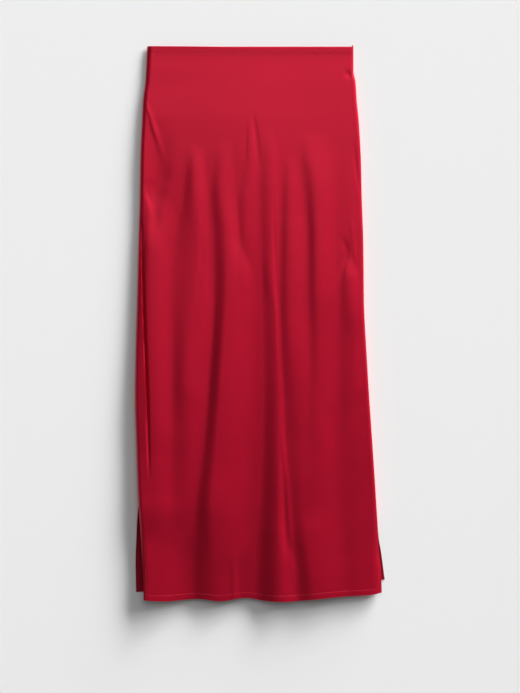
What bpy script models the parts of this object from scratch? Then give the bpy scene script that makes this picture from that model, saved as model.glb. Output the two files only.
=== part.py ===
"""A bias-cut maxi slip skirt, laid flat with its front up.

The skirt is a closed tube of cloth, wide at the hem and narrow at the waist,
lying on the surface that it rests on. Its back panel is flat on that surface
and its front panel stands a little above it in long soft folds. Each row of
the tube is one section across the skirt, and all tables below are in
millimetres:

    down    distance below the waist edge
    across  distance to the right of the middle, seen from above

World axes: +X to the right, +Y to the waist, +Z up. The origin is in the
middle of the skirt's outline, on the surface below it.
"""

from math import cos, radians, sin
from typing import NamedTuple

import bmesh
import bpy
import numpy as np

# ---------------------------------------------------------------- sizes, mm
LENGTH = 950.8            # waist edge to the lowest point of the front hem
CLOTH = 1.2               # wall of the panels
HEM_CLOTH = 1.7           # the same where the hem is turned up
BAND_CLOTH = 2.0          # turned waist edge with its elastic
BAND_DEPTH = 14.5         # waist edge to the row of stitching below it
HEM_DEPTH = 10.0          # turned-up hem
HEM_STEP = 1.0            # length over which the wall thickens to the hem
SEAM_GAP = 0.3            # between two pieces where they are sewn
SLIT_TOP = 786.5          # where both side seams end and the slits begin
BACK_ROLL = 9.0           # width of the back panel's rise to each side seam
LEFT_SHARE = -150.0       # across: the left, middle and right crown heights
MIDDLE_SHARE = -15.0
RIGHT_SHARE = 130.0
FREE_FRONT_TURN = 40.0    # slope, in degrees, of the front's free edge at the hem
FREE_BACK_TURN = -62.0    # the same of the back's, which lies almost flat
SHARP_EDGE = 45.0         # angle, in degrees, over which an edge is shaded sharp
MM_PER_M = 1000.0


class Row(NamedTuple):
    """One section of the front: its sides and the height of its crown."""

    down: float
    left: float
    right: float
    crown_left: float
    crown_middle: float
    crown_right: float


class Seam(NamedTuple):
    """Height of each side seam (in a slit, of the front's free edge), how far
    the right one has turned on to the front, and the widths of the front's
    rounded shoulders."""

    down: float
    left_height: float
    right_height: float
    right_turn: float
    left_roll: float
    right_roll: float


class BackEdge(NamedTuple):
    """Sides and heights of the back panel's free edges in the slits."""

    down: float
    left: float
    right: float
    left_height: float
    right_height: float


class EdgeLine(NamedTuple):
    """One point of a waist or hem line."""

    across: float
    down: float


class Station(NamedTuple):
    """One point of a fold's crest, with its height over the crown and the
    distances from the crest to the valley on either side of it."""

    down: float
    across: float
    height: float
    left: float
    right: float


ROWS = (
    Row(0.0, -193.4, 160.0, 9.1, 9.1, 9.1),
    Row(16.0, -194.0, 160.0, 8.7, 8.8, 8.7),
    Row(45.0, -195.4, 160.2, 9.3, 9.6, 9.3),
    Row(60.0, -196.4, 163.5, 9.5, 10.2, 9.7),
    Row(93.0, -200.3, 165.7, 10.5, 11.4, 10.2),
    Row(128.0, -202.0, 169.1, 11.4, 12.6, 10.8),
    Row(196.0, -204.9, 172.9, 12.0, 13.4, 11.6),
    Row(265.0, -205.8, 174.5, 11.5, 13.4, 12.2),
    Row(333.0, -208.0, 176.9, 12.0, 13.2, 12.6),
    Row(436.0, -210.5, 178.0, 13.2, 13.0, 13.4),
    Row(538.0, -213.2, 183.2, 15.0, 13.0, 13.2),
    Row(607.0, -214.0, 187.4, 16.2, 12.8, 13.2),
    Row(675.0, -212.0, 192.1, 17.0, 12.6, 13.2),
    Row(786.5, -208.1, 199.4, 16.4, 12.2, 12.6),
    Row(838.0, -204.3, 202.0, 14.2, 11.7, 12.7),
    Row(874.0, -201.4, 203.7, 12.6, 11.4, 12.8),
    Row(906.0, -200.0, 206.9, 11.8, 11.0, 13.2),
    Row(LENGTH, -198.6, 208.8, 11.2, 10.4, 13.4),
)

SEAMS = (
    Seam(0.0, 3.8, 5.8, 54.0, 9.5, 4.5),
    Seam(60.0, 4.4, 6.6, 58.0, 9.0, 5.0),
    Seam(128.0, 5.8, 7.4, 58.0, 7.5, 5.0),
    Seam(265.0, 5.8, 7.8, 50.0, 7.0, 5.0),
    Seam(436.0, 7.0, 9.3, 30.0, 6.0, 5.0),
    Seam(607.0, 8.5, 8.6, 10.0, 5.5, 5.0),
    Seam(700.0, 9.5, 8.2, 0.0, 6.0, 5.5),
    Seam(786.5, 10.5, 7.8, 0.0, 7.0, 7.0),
    Seam(874.0, 16.8, 7.0, 0.0, 9.5, 14.0),
    Seam(LENGTH, 19.8, 6.6, 0.0, 12.0, 20.0),
)

BACK_EDGES = (
    BackEdge(786.5, -208.1, 199.4, 10.5, 7.8),
    BackEdge(815.0, -210.4, 201.0, 6.0, 5.0),
    BackEdge(856.0, -212.3, 203.4, 2.2, 1.8),
    BackEdge(890.0, -213.6, 207.8, 1.2, 1.1),
    BackEdge(LENGTH, -212.7, 214.0, 1.0, 0.9),
)

WAIST_LINE = (
    EdgeLine(-194.0, 0.2),
    EdgeLine(-160.0, 0.4),
    EdgeLine(-70.0, 1.2),
    EdgeLine(-45.0, 2.2),
    EdgeLine(150.0, 2.2),
    EdgeLine(160.0, 1.6),
)

FRONT_HEM = (
    EdgeLine(-198.6, 948.3),
    EdgeLine(-163.0, 950.3),
    EdgeLine(-106.0, 946.9),
    EdgeLine(-68.0, 950.2),
    EdgeLine(-24.0, 945.0),
    EdgeLine(10.0, 949.8),
    EdgeLine(43.0, LENGTH),
    EdgeLine(89.0, 947.4),
    EdgeLine(144.0, 942.3),
    EdgeLine(192.0, 939.7),
    EdgeLine(208.8, 936.3),
)

BACK_HEM = (
    EdgeLine(-212.7, 936.3),
    EdgeLine(214.0, 914.9),
)

FOLDS = {
    "left_bulge": (
        Station(235.0, -191.0, 0.0, 20.0, 24.0),
        Station(300.0, -189.0, 1.5, 18.0, 44.0),
        Station(350.0, -188.0, 3.3, 20.0, 40.0),
        Station(436.0, -186.5, 3.3, 27.0, 37.0),
        Station(504.0, -185.0, 3.2, 30.0, 35.0),
        Station(607.0, -182.5, 3.1, 43.0, 34.0),
        Station(684.0, -180.0, 3.0, 44.0, 33.0),
        Station(786.5, -179.0, 2.0, 60.0, 32.0),
        Station(850.0, -178.0, 0.0, 60.0, 30.0),
    ),
    "hip_hollow": (
        Station(120.0, -178.0, 0.0, 24.0, 40.0),
        Station(170.0, -175.0, -1.2, 26.0, 36.0),
        Station(225.0, -173.0, -2.0, 28.0, 26.0),
        Station(250.0, -180.0, -2.0, 22.0, 26.0),
        Station(290.0, -180.0, -0.9, 10.0, 14.0),
        Station(325.0, -179.0, 0.0, 10.0, 14.0),
    ),
    "left_ridge": (
        Station(170.0, -111.0, 0.0, 16.0, 16.0),
        Station(222.0, -111.0, 2.2, 19.0, 21.0),
        Station(262.0, -111.0, 3.0, 24.0, 23.0),
        Station(350.0, -107.0, 2.1, 40.0, 23.0),
        Station(427.0, -111.0, 2.5, 40.0, 32.0),
        Station(504.0, -121.0, 3.1, 30.0, 42.0),
        Station(581.0, -125.0, 3.3, 26.0, 38.0),
        Station(640.0, -124.0, 1.9, 25.0, 28.0),
        Station(735.0, -126.0, 0.9, 21.0, 18.0),
        Station(830.0, -132.0, 0.0, 16.0, 14.0),
    ),
    "left_middle_ridge": (
        Station(165.0, -60.0, 0.0, 18.0, 14.0),
        Station(247.0, -66.0, 2.0, 20.0, 26.0),
        Station(324.0, -58.0, 2.9, 24.0, 26.0),
        Station(401.0, -55.0, 4.1, 25.0, 48.0),
        Station(504.0, -61.0, 5.4, 23.0, 56.0),
        Station(607.0, -68.0, 6.2, 23.0, 64.0),
        Station(710.0, -76.0, 6.0, 25.0, 68.0),
        Station(786.5, -82.0, 7.0, 29.0, 74.0),
        Station(864.0, -79.0, 6.0, 36.0, 66.0),
        Station(915.0, -78.0, 4.8, 38.0, 50.0),
        Station(LENGTH, -77.0, 4.2, 38.0, 46.0),
    ),
    "middle_ridge": (
        Station(122.0, -17.0, 0.0, 6.0, 8.0),
        Station(165.0, -17.0, 0.4, 8.0, 10.0),
        Station(222.0, -18.0, 0.7, 15.0, 14.0),
        Station(262.0, -24.0, 1.1, 15.0, 22.0),
        Station(324.0, -24.0, 1.1, 15.0, 22.0),
        Station(376.0, -27.0, 0.7, 13.0, 24.0),
        Station(430.0, -28.0, 0.0, 12.0, 24.0),
    ),
    "centre_swell": (
        Station(290.0, 56.0, 0.0, 55.0, 80.0),
        Station(350.0, 56.0, 0.9, 55.0, 80.0),
        Station(453.0, 56.0, 1.9, 55.0, 80.0),
        Station(530.0, 58.0, 2.9, 55.0, 80.0),
        Station(658.0, 61.0, 3.2, 56.0, 82.0),
        Station(761.0, 62.0, 4.9, 58.0, 84.0),
        Station(825.0, 62.0, 4.9, 60.0, 86.0),
        Station(889.0, 64.0, 3.6, 60.0, 86.0),
        Station(LENGTH, 64.0, 3.0, 60.0, 86.0),
    ),
    "centre_ridge": (
        Station(140.0, 14.0, 0.0, 12.0, 12.0),
        Station(196.0, 18.5, 0.9, 19.0, 17.0),
        Station(247.0, 17.5, 1.5, 19.0, 18.0),
        Station(350.0, 18.5, 1.5, 18.0, 14.0),
        Station(401.0, 19.0, 2.0, 17.0, 14.0),
        Station(453.0, 25.0, 1.6, 22.0, 10.0),
        Station(530.0, 27.5, 1.7, 23.0, 11.0),
        Station(607.0, 29.0, 2.5, 24.0, 14.0),
        Station(710.0, 29.0, 3.4, 27.0, 16.0),
        Station(786.5, 29.0, 4.2, 30.0, 17.0),
        Station(838.0, 28.5, 5.8, 34.0, 21.0),
        Station(889.0, 29.0, 7.0, 36.0, 33.0),
        Station(LENGTH, 30.0, 8.0, 38.0, 37.0),
    ),
    "right_middle_ridge": (
        Station(185.0, 51.0, 0.0, 10.0, 12.0),
        Station(247.0, 51.0, 1.4, 14.0, 22.0),
        Station(324.0, 51.0, 2.0, 17.0, 28.0),
        Station(427.0, 50.0, 1.9, 17.0, 30.0),
        Station(504.0, 53.0, 1.7, 19.0, 32.0),
        Station(555.0, 59.0, 1.4, 24.0, 36.0),
        Station(607.0, 65.0, 1.3, 24.0, 46.0),
        Station(684.0, 73.0, 1.4, 26.0, 66.0),
        Station(786.5, 74.0, 1.5, 20.0, 70.0),
        Station(838.0, 79.0, 2.6, 22.0, 70.0),
        Station(889.0, 86.0, 3.6, 24.0, 66.0),
        Station(LENGTH, 93.0, 3.9, 26.0, 64.0),
    ),
    "right_ridge": (
        Station(150.0, 84.0, 0.0, 16.0, 40.0),
        Station(196.0, 88.0, 1.6, 20.0, 50.0),
        Station(222.0, 94.0, 2.3, 23.0, 42.0),
        Station(262.0, 97.0, 3.0, 21.0, 37.0),
        Station(324.0, 98.0, 3.5, 18.0, 35.0),
        Station(427.0, 99.0, 3.2, 18.0, 37.0),
        Station(504.0, 101.0, 2.2, 18.0, 34.0),
        Station(607.0, 101.0, 1.9, 20.0, 34.0),
        Station(665.0, 103.0, 1.5, 26.0, 28.0),
        Station(735.0, 104.0, 0.8, 30.0, 32.0),
        Station(870.0, 106.0, 0.0, 30.0, 34.0),
    ),
    "right_hip_ridge": (
        Station(365.0, 150.0, 0.0, 14.0, 14.0),
        Station(401.0, 152.0, 1.9, 18.0, 22.0),
        Station(453.0, 156.0, 2.0, 21.0, 24.0),
        Station(504.0, 160.0, 1.3, 26.0, 22.0),
        Station(581.0, 160.0, 1.4, 26.0, 20.0),
        Station(632.0, 152.0, 0.5, 16.0, 16.0),
        Station(684.0, 152.0, 0.0, 16.0, 14.0),
    ),
    "right_side_fall": (
        Station(150.0, 188.0, 0.0, 40.0, 60.0),
        Station(215.0, 191.0, -1.5, 44.0, 60.0),
        Station(265.0, 193.0, -1.8, 44.0, 60.0),
        Station(333.0, 196.0, -1.2, 42.0, 60.0),
        Station(436.0, 199.0, -0.9, 42.0, 60.0),
        Station(540.0, 203.0, -1.5, 46.0, 60.0),
        Station(607.0, 205.0, -1.8, 50.0, 60.0),
        Station(675.0, 207.0, -1.8, 50.0, 60.0),
        Station(838.0, 212.0, -2.2, 52.0, 60.0),
        Station(LENGTH, 216.0, -2.6, 54.0, 60.0),
    ),
    "left_corner_rise": (
        Station(700.0, -205.0, 0.0, 60.0, 80.0),
        Station(761.0, -205.0, 2.2, 60.0, 84.0),
        Station(786.5, -205.0, 3.6, 60.0, 86.0),
        Station(838.0, -205.0, 5.6, 60.0, 86.0),
        Station(889.0, -205.0, 8.6, 60.0, 88.0),
        Station(LENGTH, -205.0, 10.2, 60.0, 88.0),
    ),
    "left_hem_trough": (
        Station(840.0, -120.0, 0.0, 36.0, 20.0),
        Station(889.0, -119.0, -1.0, 50.0, 22.0),
        Station(LENGTH, -118.0, -1.1, 55.0, 25.0),
    ),
}

# Distances down at which the panels have a row of points. They are closest
# where the outline turns or a fold begins.
PANEL_ROWS = (
    20.0, 32.0, 45.0, 52.0, 60.0, 76.0, 93.0, 110.0, 128.0, 150.0, 172.0, 196.0,
    218.0, 240.0, 268.0, 300.0, 333.0, 368.0, 402.0, 436.0, 470.0, 504.0, 538.0,
    572.0, 607.0, 641.0, 675.0, 709.0, 744.0, 770.0, SLIT_TOP, 800.0, 822.0,
    848.0, 874.0, 898.0, 920.0,
)

# Stretches of the front between its shoulders, as shares of its width, and
# how many columns of points each has. The narrow folds lie in the middle.
FRONT_STRETCHES = ((0.0, 0.30, 11), (0.30, 0.78, 26), (0.78, 1.0, 8))
SHOULDER_COLUMNS = 4
BACK_ROLL_COLUMNS = 4
BACK_COLUMNS = 8

SATIN_RED = (0.462, 0.014, 0.038)
SATIN_RED_INSIDE = (0.180, 0.007, 0.020)
SATIN_ROUGHNESS = 0.42


# ---------------------------------------------------------------- curves
def between(table, column, at, key="down"):
    """Values of one column of a table on a smooth curve that never overshoots."""
    stops = np.array([getattr(row, key) for row in table], dtype=float)
    values = np.array([getattr(row, column) for row in table], dtype=float)
    spans = np.diff(stops)
    rises = np.diff(values) / spans
    slopes = np.zeros_like(values)
    before, after = rises[:-1], rises[1:]
    same_way = before * after > 0.0
    slopes[1:-1][same_way] = (2.0 * before * after)[same_way] / (before + after)[same_way]
    slopes[0], slopes[-1] = rises[0], rises[-1]
    at = np.clip(np.asarray(at, dtype=float), stops[0], stops[-1])
    i = np.clip(np.searchsorted(stops, at, side="right") - 1, 0, len(spans) - 1)
    t = (at - stops[i]) / spans[i]
    return (
        values[i] * (1 + 2 * t) * (1 - t) ** 2
        + slopes[i] * spans[i] * t * (1 - t) ** 2
        + values[i + 1] * t * t * (3 - 2 * t)
        - slopes[i + 1] * spans[i] * t * t * (1 - t)
    )


def ease(t):
    """0 to 1 with no kink at either end."""
    t = np.clip(t, 0.0, 1.0)
    return t * t * (3.0 - 2.0 * t)


def fold_relief(down, across):
    """Height of all folds over the crown, at one distance down."""
    total = np.zeros_like(across)
    for stations in FOLDS.values():
        if not stations[0].down <= down <= stations[-1].down:
            continue
        crest, height, left, right = (
            between(stations, column, down) for column in ("across", "height", "left", "right")
        )
        offset = across - crest
        reach = np.where(offset < 0.0, -offset / left, offset / right)
        total += height * np.where(reach < 1.0, (1.0 - reach**2) ** 2, 0.0)
    return total


def crown(down, across):
    """Height of the front's outer surface, before its sides round down."""
    left, middle, right = (
        between(ROWS, column, down) for column in ("crown_left", "crown_middle", "crown_right")
    )
    to_middle = ease((across - LEFT_SHARE) / (MIDDLE_SHARE - LEFT_SHARE))
    to_right = ease((across - MIDDLE_SHARE) / (RIGHT_SHARE - MIDDLE_SHARE))
    return left + (middle - left) * to_middle + (right - middle) * to_right + fold_relief(down, across)


# ---------------------------------------------------------------- sections
class Side:
    """One side of the tube at one distance down.

    Going round it, the angle is -90 degrees on the floor, 0 where the side is
    widest and 90 on top. In a slit the two panels have free edges, which turn
    flatter the closer they are to the hem.
    """

    def __init__(self, name, down):
        self.down = down
        self.inward = 1.0 if name == "left" else -1.0
        self.front_edge = float(between(ROWS, name, down))
        self.front_height = float(between(SEAMS, name + "_height", down))
        self.front_roll = float(between(SEAMS, name + "_roll", down))
        self.seam_turn = float(between(SEAMS, "right_turn", down)) if name == "right" else 0.0
        self.back_edge, self.back_height = self.front_edge, self.front_height
        slit = float(ease((down - SLIT_TOP) / (LENGTH - SLIT_TOP)))
        self.front_turn, self.back_turn = FREE_FRONT_TURN * slit, FREE_BACK_TURN * slit
        if down > SLIT_TOP:
            self.back_edge = float(between(BACK_EDGES, name, down))
            self.back_height = float(between(BACK_EDGES, name + "_height", down))

    def upper(self, angle):
        """A point of the shoulder, at an angle from 0 to 90."""
        edge, turn = radians(self.front_turn), radians(angle)
        width = self.front_roll * (cos(edge) - cos(turn)) / cos(edge)
        across = self.front_edge + self.inward * width
        top = float(crown(self.down, np.array([across]))[0])
        rise = (sin(turn) - sin(edge)) / (1.0 - sin(edge))
        return across, self.front_height + (top - self.front_height) * rise

    def lower(self, angle):
        """A point of the back panel's rise, at an angle from -90 to 0."""
        edge, turn = radians(self.back_turn), radians(angle)
        across = self.back_edge + self.inward * BACK_ROLL * (cos(edge) - cos(turn)) / cos(edge)
        return across, self.back_height * (1.0 + sin(turn)) / (1.0 + sin(edge))

    def point(self, angle):
        """A point of the closed side above the slits, at any angle."""
        return self.upper(angle) if angle > 0.0 else self.lower(angle)

    def run(self, curve, first, last, count):
        """Points along a curve of this side, each with the direction to the right."""
        points = []
        for angle in np.linspace(first, last, count + 1):
            here = np.array(curve(angle))
            step = 0.25 if last > first else -0.25
            ahead = np.array(curve(np.clip(angle + step, -90.0, 90.0)))
            behind = np.array(curve(np.clip(angle - step, -90.0, 90.0)))
            points.append((*here, *(ahead - behind)))
        return points

    def gap_angle(self, panel_turn, roll, height):
        """Angle that keeps a panel's edge half the seam's gap from the seam."""
        turn = radians(panel_turn)
        pace = np.hypot(roll * sin(turn), height * cos(turn))
        return float(np.degrees(0.5 * SEAM_GAP / pace))


def front_section(down):
    """Points across the front from its left edge to its right one."""
    left, right = Side("left", down), Side("right", down)
    shoulders = []
    for side, heading in ((left, 1), (right, -1)):
        start = max(side.front_turn, side.seam_turn)
        if down <= SLIT_TOP:
            top = side.upper(90.0)[1]
            start += side.gap_angle(side.seam_turn, side.front_roll, top - side.front_height)
        angles = (start, 90.0) if heading > 0 else (90.0, start)
        shoulders.append(side.run(side.upper, *angles, SHOULDER_COLUMNS))
    first, last = shoulders[0][-1][0], shoulders[1][0][0]
    shares = [
        low + (high - low) * k / count
        for low, high, count in FRONT_STRETCHES
        for k in range(count)
    ][1:]
    middle = flat_run(down, first + (last - first) * np.array(shares), crown)
    return np.array(shoulders[0] + middle + shoulders[1])


def back_section(down):
    """Points across the back panel's underside, from its left edge to its right one."""
    left, right = Side("left", down), Side("right", down)
    rolls = []
    for side, heading in ((left, 1), (right, -1)):
        end = side.seam_turn if down <= SLIT_TOP else side.back_turn
        curve = side.point if down <= SLIT_TOP else side.lower
        if down <= SLIT_TOP:
            rise = side.upper(90.0)[1] - side.front_height if end > 0.0 else side.back_height
            roll = side.front_roll if end > 0.0 else BACK_ROLL
            end -= side.gap_angle(end, roll, rise)
        parts = (end, -90.0) if heading > 0 else (-90.0, end)
        count = BACK_ROLL_COLUMNS if heading > 0 else BACK_ROLL_COLUMNS + 2
        rolls.append(side.run(curve, *parts, count))
    first, last = rolls[0][-1][0], rolls[1][0][0]
    shares = np.arange(1, BACK_COLUMNS) / BACK_COLUMNS
    middle = flat_run(down, first + (last - first) * shares, lambda _, across: np.zeros_like(across))
    return np.array(rolls[0] + middle + rolls[1])


def flat_run(down, across, surface):
    """Points of a surface between its two sides, with the direction to the right."""
    step = 0.5
    heights = surface(down, across)
    rises = surface(down, across + step) - surface(down, across - step)
    return [(x, z, 2 * step, rise) for x, z, rise in zip(across, heights, rises)]


# ---------------------------------------------------------------- solids
def sheet(downs, section, line, wall, facing):
    """Outer and inner points of a cloth wall, row by row.

    facing is 1 where the outer side is above the wall and -1 where it is
    below, and line gives each point its own distance down.
    """
    outer, inner = [], []
    for down in downs:
        across, height, ahead_x, ahead_z = section(down).T
        length = np.hypot(ahead_x, ahead_z)
        thickness = wall(down)
        in_x = across + facing * ahead_z / length * thickness
        in_z = height - facing * ahead_x / length * thickness
        y = LENGTH / 2.0 - line(down, across)
        outer.append(np.column_stack((across, y, height)))
        inner.append(np.column_stack((in_x, y, in_z)))
    return np.array(outer), np.array(inner)


def cloth_solid(name, outer, inner, upside, colour):
    """Close the two sides of a wall into one solid and give it its material."""
    rows, columns = outer.shape[:2]
    mesh = bmesh.new()
    grids = [
        [[mesh.verts.new(point / MM_PER_M) for point in row] for row in points]
        for points in (outer, inner)
    ]
    top, under = grids if upside > 0 else grids[::-1]
    for r in range(rows - 1):
        for c in range(columns - 1):
            mesh.faces.new((top[r][c], top[r + 1][c], top[r + 1][c + 1], top[r][c + 1]))
            mesh.faces.new((under[r][c], under[r][c + 1], under[r + 1][c + 1], under[r + 1][c]))
    for r in range(rows - 1):
        mesh.faces.new((top[r][0], under[r][0], under[r + 1][0], top[r + 1][0]))
        mesh.faces.new((top[r][-1], top[r + 1][-1], under[r + 1][-1], under[r][-1]))
    for c in range(columns - 1):
        mesh.faces.new((top[0][c], top[0][c + 1], under[0][c + 1], under[0][c]))
        mesh.faces.new((top[-1][c], under[-1][c], under[-1][c + 1], top[-1][c + 1]))
    data = bpy.data.meshes.new(name)
    mesh.to_mesh(data)
    mesh.free()
    data.shade_smooth()
    data.set_sharp_from_angle(angle=radians(SHARP_EDGE))
    data.materials.append(satin(name, colour))
    solid = bpy.data.objects.new(name, data)
    bpy.context.scene.collection.objects.link(solid)
    return solid


def satin(name, colour):
    """Plain satin for one piece."""
    material = bpy.data.materials.new(name + "_satin")
    material.use_nodes = True
    shader = material.node_tree.nodes["Principled BSDF"]
    shader.inputs["Base Color"].default_value = (*colour, 1.0)
    shader.inputs["Roughness"].default_value = SATIN_ROUGHNESS
    shader.inputs["Metallic"].default_value = 0.0
    return material


# ---------------------------------------------------------------- pieces
def panel_line(hem):
    """Distance down of a panel's points: straight rows above the slits, which
    fan out below them to meet the hem's own line."""

    def line(down, across):
        if down <= SLIT_TOP:
            return np.full_like(across, down)
        reach = between(hem, "down", across, key="across") - SLIT_TOP
        return SLIT_TOP + (down - SLIT_TOP) / (LENGTH - SLIT_TOP) * reach

    return line


def waist_line(down, across):
    """Distance down of the front waistband's points: its top edge lies a
    little below the back's, and its lower edge is straight."""
    start = between(WAIST_LINE, "down", across, key="across")
    end = BAND_DEPTH - 0.5 * SEAM_GAP
    return start + (end - start) * down / end


def straight_line(down, across):
    """Distance down of the back waistband's points."""
    return np.full_like(across, down)


def hemmed_wall(down):
    """Thickness of a panel, with its hem turned up."""
    turned = np.clip((down - (LENGTH - HEM_DEPTH - HEM_STEP)) / HEM_STEP, 0.0, 1.0)
    return CLOTH + (HEM_CLOTH - CLOTH) * turned


def band_wall(_down):
    """Thickness of a waistband."""
    return BAND_CLOTH


def panel_downs():
    """Rows of both panels, from just below the waistband to the hem."""
    hem_top = LENGTH - HEM_DEPTH
    return (BAND_DEPTH + 0.5 * SEAM_GAP, *PANEL_ROWS, hem_top - HEM_STEP, hem_top, LENGTH)


def band_downs():
    """Rows of both waistbands."""
    lower_edge = BAND_DEPTH - 0.5 * SEAM_GAP
    return (0.0, 0.5 * lower_edge, lower_edge)


def build_skirt():
    """Make the four sewn pieces."""
    front = sheet(panel_downs(), front_section, panel_line(FRONT_HEM), hemmed_wall, 1)
    back = sheet(panel_downs(), back_section, panel_line(BACK_HEM), hemmed_wall, -1)
    front_band = sheet(band_downs(), front_section, waist_line, band_wall, 1)
    back_band = sheet(band_downs(), back_section, straight_line, band_wall, -1)
    cloth_solid("front_panel", *front, 1, SATIN_RED)
    cloth_solid("back_panel", *back, -1, SATIN_RED_INSIDE)
    cloth_solid("front_waistband", *front_band, 1, SATIN_RED)
    cloth_solid("back_waistband", *back_band, -1, SATIN_RED_INSIDE)


for old in list(bpy.data.objects):
    bpy.data.objects.remove(old, do_unlink=True)
build_skirt()
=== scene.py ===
"""The looks of a bias-cut maxi slip skirt in red satin, laid flat with its front up.

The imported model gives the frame. Every table is in millimetres, as a maker
would measure the skirt lying on a table:

    down    distance below the waist edge
    across  distance to the right of the middle, seen from above

World axes are +X to the right, +Y to the waist and +Z up, in metres.
"""

import logging
from dataclasses import dataclass, field
from enum import Enum
from math import atan, cos, pi, radians, sin, sqrt, tan
from typing import Callable, NamedTuple, Sequence

import bpy
import numpy as np
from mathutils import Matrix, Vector

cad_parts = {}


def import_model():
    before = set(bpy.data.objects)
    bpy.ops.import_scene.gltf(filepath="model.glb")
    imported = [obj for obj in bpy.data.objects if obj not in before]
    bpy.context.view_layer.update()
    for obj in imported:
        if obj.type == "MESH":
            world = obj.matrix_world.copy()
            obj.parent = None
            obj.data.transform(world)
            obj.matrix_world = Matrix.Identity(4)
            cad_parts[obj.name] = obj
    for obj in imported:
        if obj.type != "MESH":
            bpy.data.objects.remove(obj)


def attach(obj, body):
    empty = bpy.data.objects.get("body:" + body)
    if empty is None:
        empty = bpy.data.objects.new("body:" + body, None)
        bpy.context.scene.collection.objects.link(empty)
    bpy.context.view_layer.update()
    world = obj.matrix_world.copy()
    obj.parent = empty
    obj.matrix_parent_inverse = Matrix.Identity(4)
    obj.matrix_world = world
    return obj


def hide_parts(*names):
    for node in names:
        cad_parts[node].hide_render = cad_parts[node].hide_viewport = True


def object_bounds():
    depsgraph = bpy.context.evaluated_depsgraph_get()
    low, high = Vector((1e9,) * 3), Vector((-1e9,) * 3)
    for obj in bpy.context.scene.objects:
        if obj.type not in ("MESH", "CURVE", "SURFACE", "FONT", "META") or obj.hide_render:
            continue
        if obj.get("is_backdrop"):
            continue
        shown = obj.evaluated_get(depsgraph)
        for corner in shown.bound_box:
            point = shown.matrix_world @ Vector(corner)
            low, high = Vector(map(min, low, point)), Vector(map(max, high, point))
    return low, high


LOG = logging.getLogger("slip_skirt")
MM = 0.001
BODY = "root"
Points = np.ndarray


# ---------------------------------------------------------------- tables
class Row(NamedTuple):
    """One section of the front: its two sides and the height of its crown."""

    down: float
    left: float
    right: float
    crown_left: float
    crown_middle: float
    crown_right: float


class Seam(NamedTuple):
    """Heights of the side seams, the right one's turn and the shoulders' widths."""

    down: float
    left_height: float
    right_height: float
    right_turn: float
    left_roll: float
    right_roll: float


class BackEdge(NamedTuple):
    """Sides and heights of the back panel's free edges in the slits."""

    down: float
    left: float
    right: float
    left_height: float
    right_height: float


class EdgeLine(NamedTuple):
    """One point of a waist or hem line."""

    across: float
    down: float


class Station(NamedTuple):
    """One point of a fold's crest: its place, its height and the distances
    from the crest to where the fold ends on either side."""

    down: float
    across: float
    height: float
    left: float
    right: float


def between(table: Sequence[NamedTuple], column: str, at: Points | float, key: str = "down") -> Points:
    """Read one column of a table on a smooth curve that never overshoots.

    Args:
        table: Rows in rising order of their key.
        column: Name of the column that is read.
        at: Places at which it is read.
        key: Name of the column that the places are in.

    Returns:
        The column's values at those places.
    """
    stops = np.array([getattr(row, key) for row in table], dtype=float)
    values = np.array([getattr(row, column) for row in table], dtype=float)
    spans = np.diff(stops)
    rises = np.diff(values) / spans
    slopes = np.zeros_like(values)
    before, after = rises[:-1], rises[1:]
    same_way = before * after > 0.0
    slopes[1:-1][same_way] = (2.0 * before * after)[same_way] / (before + after)[same_way]
    slopes[0], slopes[-1] = rises[0], rises[-1]
    at = np.clip(np.asarray(at, dtype=float), stops[0], stops[-1])
    i = np.clip(np.searchsorted(stops, at, side="right") - 1, 0, len(spans) - 1)
    t = (at - stops[i]) / spans[i]
    return (
        values[i] * (1 + 2 * t) * (1 - t) ** 2
        + slopes[i] * spans[i] * t * (1 - t) ** 2
        + values[i + 1] * t * t * (3 - 2 * t)
        - slopes[i + 1] * spans[i] * t * t * (1 - t)
    )


def ease(t: Points | float) -> Points:
    """Go from 0 to 1 with no kink at either end."""
    t = np.clip(t, 0.0, 1.0)
    return t * t * (3.0 - 2.0 * t)


# ---------------------------------------------------------------- folds
class Profile(Enum):
    """Shape of a fold's section."""

    SOFT = "rounded over its whole width"
    PINCHED = "a narrow crest with hollow sides"


@dataclass(frozen=True)
class Fold:
    """A ridge, or where its height is negative a trough, along the cloth."""

    name: str
    stations: tuple[Station, ...]
    profile: Profile = Profile.SOFT

    def relief(self, down: float, across: Points) -> Points:
        """Work out the fold's height at one distance down.

        Args:
            down: Distance below the waist edge.
            across: Distances to the right of the middle.

        Returns:
            The height at each of them, which is 0 outside the fold.
        """
        if not self.stations[0].down <= down <= self.stations[-1].down:
            return np.zeros_like(across)
        crest, height, left, right = (
            between(self.stations, column, down) for column in ("across", "height", "left", "right")
        )
        offset = across - crest
        reach = np.abs(np.where(offset < 0.0, offset / left, offset / right))
        if self.profile is Profile.PINCHED:
            shape = np.where(reach < 1.0, (1.0 - reach) ** 2 * (1.0 + 0.6 * reach), 0.0)
        else:
            shape = np.where(reach < 1.0, (1.0 - reach**2) ** 2, 0.0)
        return height * shape


LENGTH = 950.8

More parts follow.
